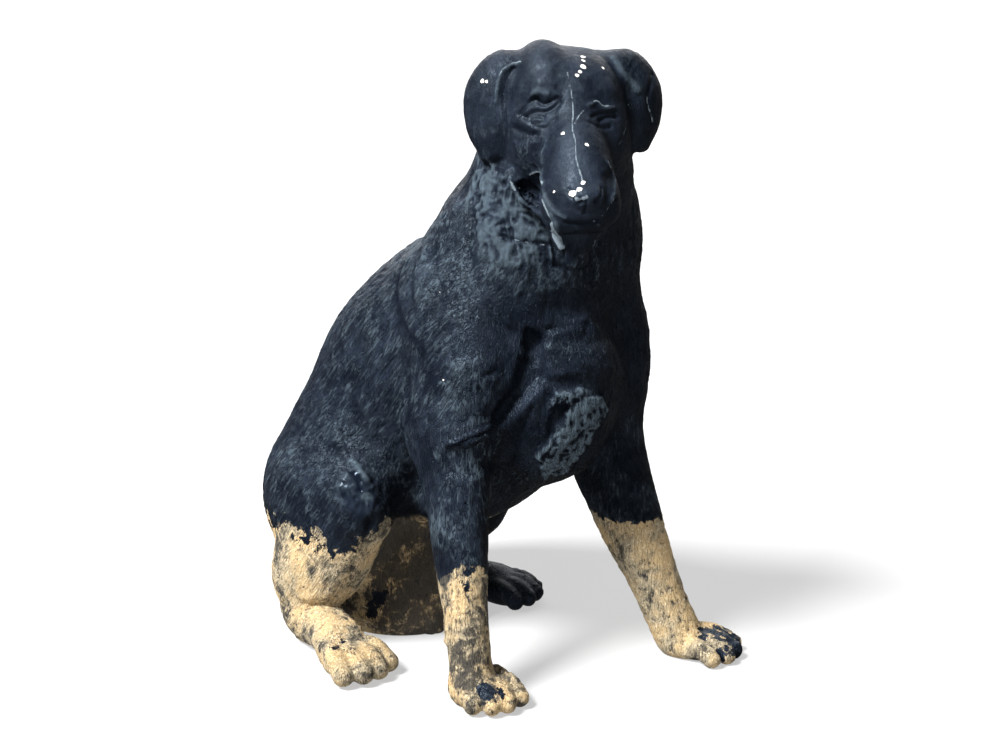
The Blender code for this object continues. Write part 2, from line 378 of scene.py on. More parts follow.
def breast(clay):
    """The loose skin across the breast, the keel below it and the right elbow's flap."""
    clay.tube([
        (-66, -122, 440, 24, 14),
        (-34, -148, 424, 26, 17),
        (6, -160, 414, 26, 18),
        (48, -150, 420, 25, 17),
        (80, -124, 436, 22, 14),
    ], 12, across=UP)
    clay.tube([
        (0, -178, 380, 30, 12),
        (6, -188, 345, 27, 13),
        (10, -182, 300, 23, 14),
        (12, -162, 260, 18, 14),
    ], 16)
    clay.tube([(-112, -112, 322, 26, 16), (-104, -124, 318, 18, 12), (-98, -131, 316, 10, 7)], 6, across=UP)


def skull(clay):
    """The skull, whose right half stands higher, the cheeks, muzzle, lips and jaws."""
    clay.egg(at_head(2, -4, 2), (64, 76, 60), 26, tilted(10))
    clay.egg(at_head(-23, 0, 19), (38, 56, 55), 7, tilted(0))
    clay.egg(at_head(24, -4, 15), (38, 56, 46), 8, tilted(0))
    clay.egg(at_head(0, 22, 5), (54, 37, 47), 22, tilted(20))
    clay.tube(head_rows([
        (0, 20, -8, 36, 44),
        (0, 56, -29, 33, 44),
        (0, 92, -57, 37, 43),
        (0, 120, -82, 37, 35),
    ]), 20, across=LEFTWARD)
    for side in (RIGHT, LEFT):
        clay.egg(at_head(side * 38, 32, -32), (28, 40, 40), 22, tilted(25))
        clay.egg(at_head(side * 22, 104, -90), (20, 36, 26), 14, tilted(30))
    clay.egg(at_head(0, 128, -96), (32, 20, 20), 12, tilted(30))
    clay.tube(head_rows([
        (0, 30, -84, 42, 24), (0, 76, -112, 30, 19), (0, 96, -128, 22, 14),
    ]), 14, across=LEFTWARD)


def face(clay):
    """Brows, lids, nose, lips, the open corner of the mouth and the tongue."""
    clay.egg(at_head(-31, 48, 22), (17, 11, 15), 9, tilted(25))
    clay.egg(at_head(31, 47, 19), (17, 10, 12), 9, tilted(25))
    for side in (RIGHT, LEFT):
        clay.egg(at_head(side * 37, 45, 0), (15, 10, 9), 7, tilted(20))
    clay.egg(at_head(0, 148, -77), (20, 13, 13), 4, tilted(30))
    for side in (RIGHT, LEFT):
        clay.egg(at_head(side * 9, 160, -81), (4, 5, 3.5), 2, tilted(30), cut=True)
    clay.tube(head_rows([
        (-64, 36, -66, 7, 6),
        (-52, 52, -90, 7, 6),
        (-41, 68, -99, 6, 5),
        (-31, 84, -110, 6, 5),
        (-19, 98, -136, 6, 5),
    ]), 5, across=LEFTWARD)
    clay.egg(at_head(-49, 68, -90), (12, 19, 10), 3, tilted(42), cut=True)
    clay.tube(head_rows([
        (-2, 84, -112, 16, 15), (-3, 97, -130, 15, 13), (-3, 100, -150, 13, 11),
    ]), 5, across=LEFTWARD)


def ears(clay):
    """Thick ears that leave the top of the skull sideways and hang beside the cheeks."""
    for side, drop, out in ((RIGHT, 0, 0), (LEFT, 4, 6)):
        broad = FORWARD * 0.77 - LEFTWARD * (side * 0.64)
        clay.tube(head_rows([
            (side * 44, -10, 48, 26, 12),
            (side * (67 + out), -8, 45, 25, 15),
            (side * (85 + out), -4, 16, 30, 15),
            (side * (85 + out), 0, drop - 20, 29, 14),
            (side * (78 + out), 4, 2 * drop - 48, 21, 11),
        ]), 7, across=broad)
        clay.egg(at_head(side * 66, 4, -10), (13, 22, 42), 8, tilted(0))
        clay.egg(at_head(side * 60, -2, 28), (15, 24, 24), 10, tilted(0))


def paw(clay, centre, degrees, length, width, height):
    """A paw of four toes, pointing along -Y turned by this much towards the dog's right."""
    turn = math.radians(degrees)
    ahead = np.array([-math.sin(turn), -math.cos(turn), 0])
    left = np.array([math.cos(turn), -math.sin(turn), 0])
    middle = np.array([*centre, 0.0])
    clay.egg(middle + UP * height * 0.42, (width * 0.45, length * 0.49, height * 0.52), 14, (left, ahead, UP))
    thick = width * 0.15
    for toe in range(4):
        out = (toe - 1.5) / 1.5
        side = left * (out * width * 0.36)
        reach = length * (0.5 - 0.13 * out**2)
        root = middle + side * 0.7 + ahead * (reach - length * 0.62) + UP * height * 0.78
        tip = middle + side * 1.12 + ahead * (reach - 6) + UP * height * 0.36
        knuckle = (root + tip) / 2 + side * 0.05 + ahead * 5 + UP * height * 0.1
        clay.tube([
            (*root, thick * 0.8, thick * 0.7),
            (*knuckle, thick, thick * 0.95),
            (*tip, thick, thick * 1.05),
        ], 3, across=left)


def paws(clay):
    """The four paws: middle, turn, length, width and height."""
    for row in (
        ((-130, -162), 22, 88, 70, 33),
        ((148, -244), -14, 90, 72, 30),
        ((-190, 4), 4, 84, 80, 40),
        ((100, 42), -20, 82, 72, 36),
    ):
        paw(clay, *row)


def lattice(cell, seed):
    """A fixed value from -1 to 1 for each whole-numbered cell: its coordinates times large odd
    numbers, folded over themselves twice."""
    with np.errstate(over="ignore"):
        mixed = (cell.astype(np.int64) * (374761393, 668265263, 1442695041)).sum(1) + seed * 974711
        mixed = (mixed & 0xFFFFFFFF).astype(np.uint64)
        mixed = ((mixed ^ (mixed >> 13)) * 1274126177) & 0xFFFFFFFF
        mixed = ((mixed ^ (mixed >> 16)) * 2246822519) & 0xFFFFFFFF
    return (mixed ^ (mixed >> 15)).astype(float) / 2147483647.5 - 1


def noise(points, seed=0):
    """Value noise: the eight corner values of each point's cell, mixed along smooth steps."""
    cell = np.floor(points)
    share = points - cell
    share = share * share * (3 - 2 * share)
    total = 0
    for corner in ((i, j, k) for i in (0, 1) for j in (0, 1) for k in (0, 1)):
        weight = np.prod(np.where(np.array(corner), share, 1 - share), axis=1)
        total = total + weight * lattice(cell + corner, seed)
    return total


def grain(points, size, seed=0, octaves=2):
    """Noise of this size in millimetres, with halves of it at half the size."""
    total = 0
    for octave in range(octaves):
        total = total + noise(points / (size / 2**octave), seed + octave) / 2**octave
    return total


def strokes(points, along, length, width, seed=0):
    """Combed fur: noise drawn out along one direction, with narrow furrows where it is nought."""
    along = np.asarray(along, float)
    along = along / np.linalg.norm(along)
    one = np.cross(along, (0.31, 0.52, 0.79))
    one /= np.linalg.norm(one)
    other = np.cross(along, one)
    bend = noise(points / 45, seed + 7) * 0.9 * width
    place = [points @ along / length, (points @ one + bend) / width, (points @ other + bend) / width]
    return 1 - 2.6 * np.abs(noise(np.stack(place, 1), seed))


def worms(points, size, seed=0):
    """Crinkled relief: ridges where warped noise is nought."""
    warp = np.stack([noise(points / (size * 1.6), seed + i) for i in (11, 12, 13)], 1) * size * 0.7
    return 1 - 2.8 * np.abs(noise((points + warp) / size, seed))


def ramp(values, low, high):
    """A smooth step from 0 at low to 1 at high."""
    share = np.clip((values - low) / (high - low), 0, 1)
    return share * share * (3 - 2 * share)


class Skin:
    """The statue's surface points, with where the camera sees each of them."""

    SEEN = 0.05  # how squarely a point has to face the camera to be picked
    SPOT = 3  # pixels
    PAST_OUTLINE = 25  # pixels
    BEHIND = (70, 110)  # millimetres behind an outline's nearest point: still in it, and out of it

    def __init__(self, points, squares):
        self.points = points
        self.squares = squares
        self.find_normals()
        back = direction(CAMERA_ROUND, CAMERA_ABOVE)
        side = math.radians(CAMERA_ROUND)
        right = np.array([math.cos(side), math.sin(side), 0])
        above = np.cross(back, right)
        ray = self.points - (CAMERA_TARGET + back * CAMERA_AWAY)
        self.depth = -(ray @ back)
        focal = CAMERA_LENS / SENSOR * PICTURE[0]
        self.across = PICTURE[0] / 2 + focal * (ray @ right) / self.depth
        self.down = PICTURE[1] / 2 - focal * (ray @ above) / self.depth
        self.facing = -(self.normals * ray).sum(1) / np.linalg.norm(ray, axis=1)
        self.raised = np.zeros(len(points))

    def find_normals(self):
        """Each point's normal is the sum of those of its squares."""
        corners = self.points[self.squares]
        crossed = np.cross(corners[:, 2] - corners[:, 0], corners[:, 3] - corners[:, 1])
        total = np.stack([
            np.bincount(self.squares.ravel(), np.repeat(crossed[:, k], 4), len(self.points)) for k in range(3)
        ], 1)
        self.normals = total / np.maximum(np.linalg.norm(total, axis=1), 1e-9)[:, None]

    def spot(self, across, down):
        """The nearest surface point to the camera at this place in the picture, or, just past the
        outline, the point that is seen closest to it."""
        gap = np.hypot(self.across - across, self.down - down) + 1e6 * (self.facing < self.SEEN)
        found = np.flatnonzero(gap < self.SPOT)
        if len(found):
            return self.points[found[np.argmin(self.depth[found])]]
        closest = np.argmin(gap)
        if gap[closest] > self.PAST_OUTLINE:
            raise ValueError(f"the statue isn't seen near {across}, {down}")
        return self.points[closest]

    def line(self, places):
        """A smooth path over the surface through places in the picture."""
        return smooth_rows([self.spot(*place) for place in np.reshape(places, (-1, 2))], 6)

    def away(self, path, reach):
        """Each point's distance from a path, where it is less than reach."""
        low, high = path.min(0) - reach, path.max(0) + reach
        near = np.flatnonzero(((self.points > low) & (self.points < high)).all(1))
        gap = np.full(len(self.points), reach, float)
        best = np.full(len(near), float(reach))
        for start, stop in zip(path[:-1], path[1:]):
            heading = stop - start
            share = np.clip(((self.points[near] - start) @ heading) / max(heading @ heading, 1e-9), 0, 1)
            miss = self.points[near] - start - share[:, None] * heading
            best = np.minimum(best, np.linalg.norm(miss, axis=1))
        gap[near] = best
        return gap

    def score(self, places, width, depth):
        """Cuts a groove along a path, or raises a ridge where depth is negative. Its profile is
        a bell curve of the distance over the width."""
        gap = self.away(self.line(places), width * 3)
        self.raised -= depth * np.exp(-((gap / width) ** 2)) * (gap < width * 3)

    def round(self, place, radius):
        """1 at a place in the picture, falling to 0 at the radius from it."""
        gap = np.linalg.norm(self.points - self.spot(*place), axis=1)
        return 1 - ramp(gap, radius * 0.55, radius)

    def area(self, places, soft):
        """1 inside an outline drawn in the picture, falling to 0 this many pixels past it, on the
        surface that the camera sees there."""
        here = np.stack([self.across, self.down], 1)
        corners = np.reshape(places, (-1, 2)).astype(float)
        low, high = corners.min(0) - 2 * soft, corners.max(0) + 2 * soft
        found = np.flatnonzero(((here > low) & (here < high)).all(1) & (self.facing > -0.05))
        at = here[found]
        inside = np.zeros(len(found), bool)
        gap = np.full(len(found), 1e9)
        for start, stop in zip(corners, np.roll(corners, -1, axis=0)):
            heading = stop - start
            share = np.clip((at - start) @ heading / (heading @ heading), 0, 1)
            gap = np.minimum(gap, np.linalg.norm(at - start - share[:, None] * heading, axis=1))
            crossed = (start[1] > at[:, 1]) != (stop[1] > at[:, 1])
            side = start[0] + (at[:, 1] - start[1]) / (heading[1] or 1e-9) * heading[0]
            inside ^= crossed & (at[:, 0] < side)
        near = self.depth[found]
        close = 1 - ramp(near, *(near[inside].min() + np.array(self.BEHIND)))
        full = np.zeros(len(self.points))
        full[found] = ramp(np.where(inside, gap, -gap), -soft, soft) * close
        return full

    def settle(self):
        """Moves each point along its normal by what has been raised."""
        self.points = self.points + self.normals * self.raised[:, None]
        self.raised[:] = 0
        self.find_normals()


def part_of(points):
    """How much each point belongs to the face, ears, neck, body, breast, forelegs and haunches,
    from 0 to 1."""
    x, y, z = points.T
    head = points - HEAD_CENTRE
    face = ramp(head @ FORWARD, -10, 25) * ramp(z, 500, 540)
    ear = ramp(np.abs(head @ LEFTWARD), 62, 72) * ramp(z, 580, 600)
    right_fore = ramp(-x, 70, 90) * ramp(-y, 40, 60) * ramp(-z, -330, -290)
    left_fore = ramp(x, 60, 80) * ramp(-y, 65, 85) * ramp(-z, -320, -280)
    fore = np.maximum(right_fore, left_fore)
    haunch = ramp(np.abs(x), 95, 130) * ramp(y, -30, 10) * ramp(-z, -290, -230)
    return {
        "face": face * (1 - ear), "ear": ear, "right_fore": right_fore, "left_fore": left_fore,
        "haunch": haunch * (1 - fore),
        "neck": ramp(z, 430, 500) * (1 - ramp(z, 640, 690)) * (1 - face) * (1 - ear),
        "body": ramp(z, 150, 230) * (1 - ramp(z, 470, 560)) * (1 - fore),
        "breast": ramp(-y, 100, 150) * ramp(z, 230, 270) * (1 - ramp(z, 430, 480)) * (1 - fore),
    }


# Outlines in the picture, in pixels across and down, one corner after another.
WORMY_LIT_PATCH = (
    548, 409, 556, 393, 580, 388, 600, 396, 607, 409, 588, 445, 568, 470, 545, 477, 537, 456,
    556, 433, 568, 406, 556, 404,
)
THROAT = (
    478, 156, 496, 164, 508, 176, 518, 200, 534, 212, 546, 228, 556, 250, 552, 264, 500, 266,
    476, 246, 466, 200,
)
MOUTH = (515, 184, 524, 180, 536, 187, 543, 197, 538, 205, 530, 205, 520, 197)
# The lower jaw's rim: raised, and painted pale as a highlight.
JAW_RIM_HIGHLIGHT = (549, 222, 556, 223, 564, 236, 566, 248, 560, 251, 552, 238)
BREAST_HOLLOW = (527, 330, 543, 338, 543, 378, 524, 402, 498, 426, 494, 416, 514, 386, 522, 356)
ELBOW_FLAP = (446, 444, 470, 433, 493, 423, 489, 438, 466, 449)
KNEE = (344, 468, 362, 464, 376, 486, 378, 512, 362, 524, 340, 510, 334, 486)


def model_skin(skin):
    """The breast's plates and hollows, the elbow's flap and the worn folds, as broad low forms."""
    for places, soft, height in (
        ((550, 334, 586, 314, 612, 346, 622, 374, 548, 378, 543, 352), 6, 6),
        (BREAST_HOLLOW, 6, -12),
        ((500, 436, 545, 400, 552, 430, 534, 455, 528, 480, 500, 490), 8, -3.5),
        (WORMY_LIT_PATCH, 2.5, 5),
        ((556, 407, 566, 408, 556, 432, 546, 446, 548, 424), 3, -3.5),
        ((490, 250, 530, 264, 545, 300, 530, 322, 500, 300), 12, 3),
        (ELBOW_FLAP, 2.5, 6),
        ((444, 450, 470, 443, 494, 431, 498, 466, 470, 478, 442, 474), 5, -4),
        (MOUTH, 2, -8),
        (JAW_RIM_HIGHLIGHT, 2.5, 2.5),
        ((452, 362, 492, 356, 500, 380, 488, 412, 456, 420, 444, 390), 9, 3.5),
        ((392, 262, 424, 250, 432, 300, 424, 350, 398, 330), 9, 4),
        (KNEE, 6, 2.5),
        ((330, 602, 352, 606, 386, 626, 372, 634, 345, 622), 3, 3),
        ((300, 596, 330, 590, 346, 606, 318, 612), 5, 3),
        ((429, 616, 438, 616, 443, 632, 437, 642, 428, 634), 3, 3.5),
        # throat and neck: long upright folds
        ((500, 262, 506, 300, 516, 330, 522, 328, 514, 298, 508, 262), 4, -2.5),
        ((470, 190, 464, 250, 468, 300, 476, 300, 474, 250, 480, 192), 5, -2.5),
        ((612, 170, 618, 240, 624, 300, 616, 300, 608, 240, 604, 176), 5, -3),
        # brow bump, cheek and lower lid
        ((534, 76, 548, 71, 560, 80, 559, 94, 548, 99, 536, 96), 6, 2.4),
        ((514, 126, 530, 128, 540, 132, 528, 146, 514, 140), 4, -2.2),
    ):
        skin.raised += height * skin.area(places, soft)


def fold_skin(skin):
    """The creases and edges that the mould left, drawn where the picture shows them."""
    for places, width, depth in (
        # the right eye's folds, slit and lower lid
        ((517, 113, 522, 107, 532, 99, 542, 102, 555, 96), 2.4, 3.2),
        ((523, 115, 533, 110, 543, 110, 550, 107, 556, 100), 2.4, 3.4),
        ((527, 117, 533, 114, 542, 115), 2.2, 3),
        ((534, 120, 538, 122, 542, 119), 1.8, 1.2),
        ((520, 117, 530, 123, 537, 128, 545, 125, 553, 117), 2.4, 1.6),
        ((511, 128, 522, 134, 534, 136), 3.4, 1.8),
        ((557, 86, 561, 93, 557, 102, 551, 112), 2.8, 1.8),
        ((524, 104, 533, 94, 546, 96), 3.4, -1.8),
        # the left eye's folds and slit
        ((590, 104, 598, 101, 606, 108, 616, 106), 2.4, -1.8),
        ((593, 115, 600, 113, 608, 111, 617, 109), 2, 1.8),
        ((602, 119, 610, 117, 619, 115), 2.2, 2.6),
        ((592, 120, 602, 127, 613, 126), 2.6, 1.6),
        # muzzle's sides, upper lip and nose
        ((541, 150, 540, 170, 541, 190, 548, 206), 3.4, -1.2),
        ((524, 184, 530, 174, 538, 172, 541, 184), 2.6, -2),
        ((541, 200, 547, 213, 554, 226, 562, 247), 3.4, -2.4),
        ((534, 205, 545, 222, 551, 232), 2.6, 1.8),
        ((508, 180, 512, 192, 522, 202, 534, 208), 2.8, -1.8),
        ((543, 196, 550, 210, 563, 219), 2.2, -1.8),
        ((563, 224, 580, 227, 598, 224), 2.4, 2.2),
        ((567, 186, 566, 194, 572, 201), 1.6, 1.6),
        ((604, 186, 605, 194, 600, 201), 1.6, 1.6),
        ((585, 203, 585, 216), 1.6, 1.8),
        ((609, 160, 617, 178, 617, 196, 606, 214), 2.4, -2),
        # ears: the folded front edges
        ((518, 60, 503, 68, 496, 82, 494, 104), 2.6, -2.2),
        ((512, 66, 503, 88, 502, 112, 505, 146), 2.8, 2.4),
        ((613, 56, 626, 72, 640, 92), 4, -2.4),
        ((655, 74, 650, 98, 655, 124), 2.6, 2),
        ((632, 104, 629, 128, 623, 146), 2.6, 1.6),
        # neck and throat
        ((497, 236, 515, 242, 535, 245, 552, 247), 2.2, 2),
        ((470, 214, 466, 232, 466, 244), 1.8, 1.6),
        ((462, 236, 466, 241, 470, 235), 1.6, 1.8),
        ((600, 226, 601, 248, 594, 262), 2, -1.8),
        ((619, 200, 620, 232, 612, 262), 2.4, 1.8),
        ((535, 262, 553, 266, 575, 273), 2.4, 1.6),
        # shoulder and breast
        ((404, 262, 396, 290, 402, 320, 418, 346), 5, 1.8),
        ((420, 248, 412, 286, 420, 326), 4, 1.2),
        ((490, 300, 503, 322, 522, 336), 4, 2.4),
        ((530, 334, 556, 330, 588, 324), 3.4, 2.6),
        ((524, 352, 552, 348, 590, 352), 5, -1.6),
        ((540, 372, 566, 366, 594, 372), 4, 1.8),
        ((614, 395, 606, 418, 590, 446, 566, 474), 3, 2.4),
        ((548, 396, 566, 412, 556, 440, 541, 463), 3, 2.4),
        ((575, 402, 588, 396, 606, 394), 3, 1.8),
        ((566, 414, 574, 428, 562, 446), 3, -1.6),
        ((508, 470, 520, 440, 530, 410), 4, 1.8),
        # elbow flap
        ((452, 448, 470, 440, 486, 434, 494, 428), 3, 4),
        ((456, 432, 474, 426, 490, 421), 4, -1.6),
        ((493, 427, 497, 446, 498, 470), 3, 1.6),
        # flank, knee and haunch
        ((351, 458, 360, 466, 368, 478), 3, -2.4),
        ((346, 466, 356, 476, 362, 488), 3, 2),
        ((300, 452, 322, 446, 344, 452), 7, 1.6),
        ((372, 520, 362, 548, 352, 574, 348, 600), 4, 1.8),
        # shank, hock and carpal bump
        ((300, 610, 318, 604, 336, 610, 350, 620), 3, 2),
        ((352, 616, 368, 622, 384, 632), 3, -2),
        ((434, 618, 440, 630, 438, 642), 4, -2),
        ((664, 604, 672, 620, 678, 638), 3, -1.6),
        ((674, 634, 680, 645), 2.6, 2.4),
    ):
        skin.score(places, width, depth)


def comb_fur(skin):
    """Raises fur strokes, crinkled relief and old tool marks: each kind of noise times its height
    in millimetres and the part that bears it. Gives the shares that the paint needs."""
    p = skin.points
    parts = part_of(p)
    flank = strokes(p, (0.1, 0.6, -0.8), 27, 5.5, 1)
    chest = strokes(p, (0.15, 0.1, -1), 24, 5.5, 2)
    chevron = strokes(p, (0.32, 0, -1), 17, 4.6, 3)
    wormy = worms(p, 9, 4)
    crumbs = grain(p, 5, 5, 2)
    smooth = 1 - np.maximum(parts["face"], parts["ear"])
    upright = strokes(p, (0.05, 0, -1), 30, 7, 15)
    height = parts["body"] * (1 - parts["breast"]) * flank * 0.9
    height += parts["breast"] * (0.6 * chest + 0.3 * wormy)
    height += parts["haunch"] * (1 - parts["body"]) * flank * 0.8
    height += np.maximum(parts["right_fore"], parts["left_fore"]) * chevron * 0.7
    throat = skin.area(THROAT, 5)
    height += (
        parts["neck"] * (0.7 * upright + 0.15 * wormy)
        + throat * (1.0 * wormy + 1.2 * upright + 0.4 * crumbs)
    )
    lit_patch = skin.area(WORMY_LIT_PATCH, 3)
    arm = skin.round((470, 392), 46)
    height += lit_patch * (1.2 * worms(p, 6, 14) + 0.4 * crumbs) + arm * 0.8 * wormy
    cheek = skin.round((528, 155), 32)
    height += cheek * 0.7 * worms(p, 7, 8)
    height += (parts["left_fore"] * (1 - ramp(p[:, 2], 165, 175)) * 0.5) * wormy
    height += (
        parts["face"] * (0.2 * crumbs + 0.16 * wormy)
        + parts["ear"] * 0.18 * strokes(p, (0.2, 0.1, -1), 22, 6, 9)
    )
    height += grain(p, 38, 21, 2) * 0.9 * smooth + grain(p, 12, 22, 2) * 0.25
    height *= ramp(p[:, 2], 2, 9)
    skin.raised += height
    calm = np.maximum(parts["haunch"], parts["body"] * (1 - lit_patch))
    return {
        "relief": np.clip(height / 1.1, -1, 1) * (1 - 0.6 * calm),
        "throat": np.clip(throat + cheek * 0.6, 0, 1),
        "mouth": skin.area(MOUTH, 2),
        "lit_patch": lit_patch,
        "arm": arm,
    }


# Pale lines: places in the picture, and half the width in millimetres.
PALE_LINES = (
    ((567, 49, 569, 70, 571, 90, 572, 108, 573, 125, 575, 140, 577, 155, 580, 170, 582, 180), 0.1),
    ((575, 121, 580, 114, 585, 108), 0),
    ((595, 99, 600, 100, 604, 105, 611, 105), 0.5),
    ((519, 60, 510, 62, 503, 67, 497, 76), 0.4),
    # The next two follow the lower jaw's rim: a painted highlight.
    ((552, 226, 556, 234, 562, 247), 3.2),
    ((537, 192, 541, 200, 547, 213, 553, 226), 1),
    ((596, 223, 597, 243, 589, 260), 0.3),
    ((609, 160, 618, 182, 616, 202, 604, 218), 0.2),
    ((573, 200, 580, 202, 588, 199), 1.5),
    ((655, 74, 651, 97, 656, 122), 0.3),
    ((632, 104, 629, 128, 623, 146), 0),
    ((497, 238, 516, 243, 546, 247), 0.4),
    ((470, 222, 466, 234, 465, 240), 0.2),
    ((493, 427, 489, 434, 478, 440), 0.3),
    ((524, 184, 530, 174, 538, 172, 541, 184), 0.8),
    ((509, 182, 513, 192), 1),
)
# Chips: pixels across and down, and the radius in millimetres.
CHIPS = (
    (582, 54, 1.9), (584, 58, 1.2), (585, 64, 2.4), (582, 70, 1.2), (579, 73, 1), (605, 66, 0.8),
    (572, 191, 2.4), (578, 187, 1.8), (582, 180, 1.2), (569, 191, 1.6), (589, 143, 1.6), (562, 131, 0.9),
    (480, 80, 1), (485, 79, 1), (441, 381, 1), (441, 390, 1), (551, 191, 0.7), (437, 292, 0.7),
)
FADE = 6  # millimetres over which a line's or a chip's marking falls from 1 to 0

# The paint's lower edge in millimetres above the ground, and on the right thigh as the picture shows it.
BODY_EDGE = 30
THIGH_EDGE = 132
LEFT_HIND_EDGE = 42
RIGHT_HIND_PAW_EDGE = 100
RIGHT_FORE_EDGE = 142
LEFT_FORE_EDGE = 166
THIGH_ACROSS = (262, 293, 310, 324, 330, 345, 351, 372, 380)
THIGH_DOWN = (524, 526, 532, 541, 556, 557, 549, 539, 530)
THIGH_BLUR = 52  # pixels
# Roughly towards the key light; the side turned away from it gets less bloom, as painted shade.
TOWARDS_LIGHT = np.array([-0.85, -0.1, 0.5])


def worn_places(skin, relief):
    """Where the paint is gone, from -1 to 1 by the height below its lower edge, and where it is bloomed,
    combed, polished or stained, and how squarely each point faces the key light. The bloom share also paints
    a highlight on the knee and a pool of light on a patch of the breast, and paints shade over the rest of
    the breast, in its hollow, in the mouth and on the side turned away from the key light. Lines and chips
    are 1 up to their own width, and fall evenly to 0 over the fade."""
    p = skin.points
    x, y, z = p.T
    parts = part_of(p)
    haunch = parts["haunch"] > 0.3
    left_fore = parts["left_fore"] > 0.5
    edge = np.where(haunch, THIGH_EDGE + 0.2 * y + 12 * noise(p / 34, 41), BODY_EDGE)
    edge = np.where(haunch & (x > 0), LEFT_HIND_EDGE, edge)
    edge = np.where(parts["right_fore"] > 0.5, RIGHT_FORE_EDGE + 22 * noise(p / 26, 42), edge)
    edge = np.where(left_fore, LEFT_FORE_EDGE + 3 * noise(p / 12, 43), edge)
    seat = ramp(20 * noise(p / 30, 45) - np.abs(x + 14), -108, -80) * ramp(y, -60, -20)
    # The bare seat stops about 150 to 180 mm up, so the gap between thigh and belly stays black as painted
    # shade.
    seat *= 1 - ramp(z - 60 * ramp(x, 0, 30), 150, 180)
    edge = np.where((x < -150) & (y < 20) & (z < 60), RIGHT_HIND_PAW_EDGE, edge)
    gone = np.clip((edge - z) / np.where(left_fore, 16, 40), -1, 1)
    below = skin.down - np.interp(skin.across, THIGH_ACROSS, THIGH_DOWN)
    seen = ramp(skin.facing, 0, 0.2) * haunch * (x < -60)
    gone = gone + seen * (np.clip(below / THIGH_BLUR, -1, 1) - gone)
    gone = np.maximum(gone, seat * 1.6 - 1)
    gone = np.where((x > 60) & (z < 42) & (y > -60), gone * 0.3 - 0.75, gone)
    toes = ramp(-z, -34, -22) * np.maximum(skin.round((490, 690), 42), skin.round((345, 645), 34))
    gone -= skin.round((478, 688), 20) + skin.round((496, 691), 18) + 0.85 * skin.round((340, 642), 26)
    gone -= 1.12 * skin.round((724, 636), 46)
    stain = 0.3 - 0.06 * parts["left_fore"]
    stain = stain + parts["right_fore"] * (0.12 + 0.12 * (1 - ramp(z, 45, 80))) - 0.2 * toes
    stain = np.maximum(stain, seat * 0.85)
    stain += 0.3 * ramp(y, 60, 140) * parts["haunch"] * noise(p / 30, 44)
    knee = skin.area(KNEE, 8)
    # A painted pool of light on the breast's lit patch.
    bloom_and_painted_light = 0.16 + 0.1 * relief["throat"] + 1.1 * relief["lit_patch"] + 0.3 * relief["arm"]
    # A painted highlight on the knee; painted shade over the breast outside its lit patch.
    bloom_and_painted_light += 0.5 * skin.round((368, 497), 9) - 0.1 * knee - 0.32 * parts["breast"] * (1 - relief["lit_patch"])
    bloom_and_painted_light += 0.16 * parts["neck"] + 0.14 * parts["body"] * (1 - parts["breast"])
    # Painted shade in the mouth's opening and in the breast's hollow.
    bloom_and_painted_light -= relief["mouth"] + 0.5 * skin.area(BREAST_HOLLOW, 6)
    bloom_and_painted_light *= 1 - 0.2 * parts["face"] * (1 - relief["throat"])
    # Painted shade: the bloom fades on the side turned away from the key light.
    lit_side = ramp(skin.normals @ TOWARDS_LIGHT, -0.3, 0.5)
    bloom_and_painted_light *= 0.12 + 0.88 * lit_side
    line = np.zeros(len(p))
    for places, width in PALE_LINES:
        gap = skin.away(skin.line(places), FADE + 2)
        line = np.maximum(line, 1 - np.maximum(gap - width, 0) / FADE)
    chip = np.zeros(len(p))
    for across, down, radius in CHIPS:
        gap = np.linalg.norm(p - skin.spot(across, down), axis=1)
        chip = np.maximum(chip, 1 - np.maximum(gap - radius, 0) / FADE)
    combed = np.maximum(parts["body"] * (1 - parts["breast"]), parts["haunch"])
    # A painted highlight along the lower jaw's rim.
    line = np.maximum(line, skin.area(JAW_RIM_HIGHLIGHT, 2))
    furless = np.maximum(parts["face"], parts["ear"] * 0.8) * (1 - relief["throat"])
    polished = np.maximum(knee, np.maximum(furless * 0.88, relief["throat"] * 0.75))
    return {
        "gone": gone, "bloom_and_painted_light": np.clip(bloom_and_painted_light, 0, 1), "line": line, "chip": chip, "relief": relief["relief"],
        "stain": np.clip(stain, 0, 1), "combed": combed, "polished": polished, "lit_side": lit_side,
    }


def carve():
    """The statue's points, squares and markings."""
    clay = Clay()
    for mass in (trunk, neck, shoulders, forelegs, hindquarters, tail, breast, skull, face, ears, paws):
        mass(clay)
    clay.flat_ground()
    skin = Skin(*clay.surface())
    model_skin(skin)
    skin.settle()
    fold_skin(skin)
    folds = skin.raised / 2
    skin.settle()
    relief = comb_fur(skin)
    relief["relief"] = np.clip(relief["relief"] + folds, -1, 1)
    skin.settle()
    marks = worn_places(skin, relief)
    skin.points[:, 2] = np.maximum(skin.points[:, 2], 0)
    return skin, marks


def stand_over_solid(points):
    """Millimetres to metres, with the box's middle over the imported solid's."""
    middle = (points.min(0) + points.max(0)) / 2000
    shift = (SOLID_LOW + SOLID_HIGH) / 2 - middle
    shift[2] = 0
    return points / 1000 + shift, shift


def statue_shift():
    """Metres from the tables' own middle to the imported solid's, as the carved surface was moved."""
    return Vector(bpy.data.objects["dog_statue"]["shift"])


def new_mesh(name, points, squares, marks):
    """A mesh of squares, with each marking as a value at each point."""
    mesh = bpy.data.meshes.new(name)
    mesh.vertices.add(len(points))
    mesh.vertices.foreach_set("co", points.astype(np.float32).ravel())
    mesh.loops.add(squares.size)
    mesh.loops.foreach_set("vertex_index", squares.astype(np.int32).ravel())
    mesh.polygons.add(len(squares))
    mesh.polygons.foreach_set("loop_start", np.arange(0, squares.size, 4, dtype=np.int32))
    mesh.polygons.foreach_set("loop_total", np.full(len(squares), 4, np.int32))
    for key, values in marks.items():
        layer = mesh.attributes.new(key, "FLOAT", "POINT")
        layer.data.foreach_set("value", values.astype(np.float32))
    mesh.update(calc_edges=True)
    mesh.validate()
    return mesh


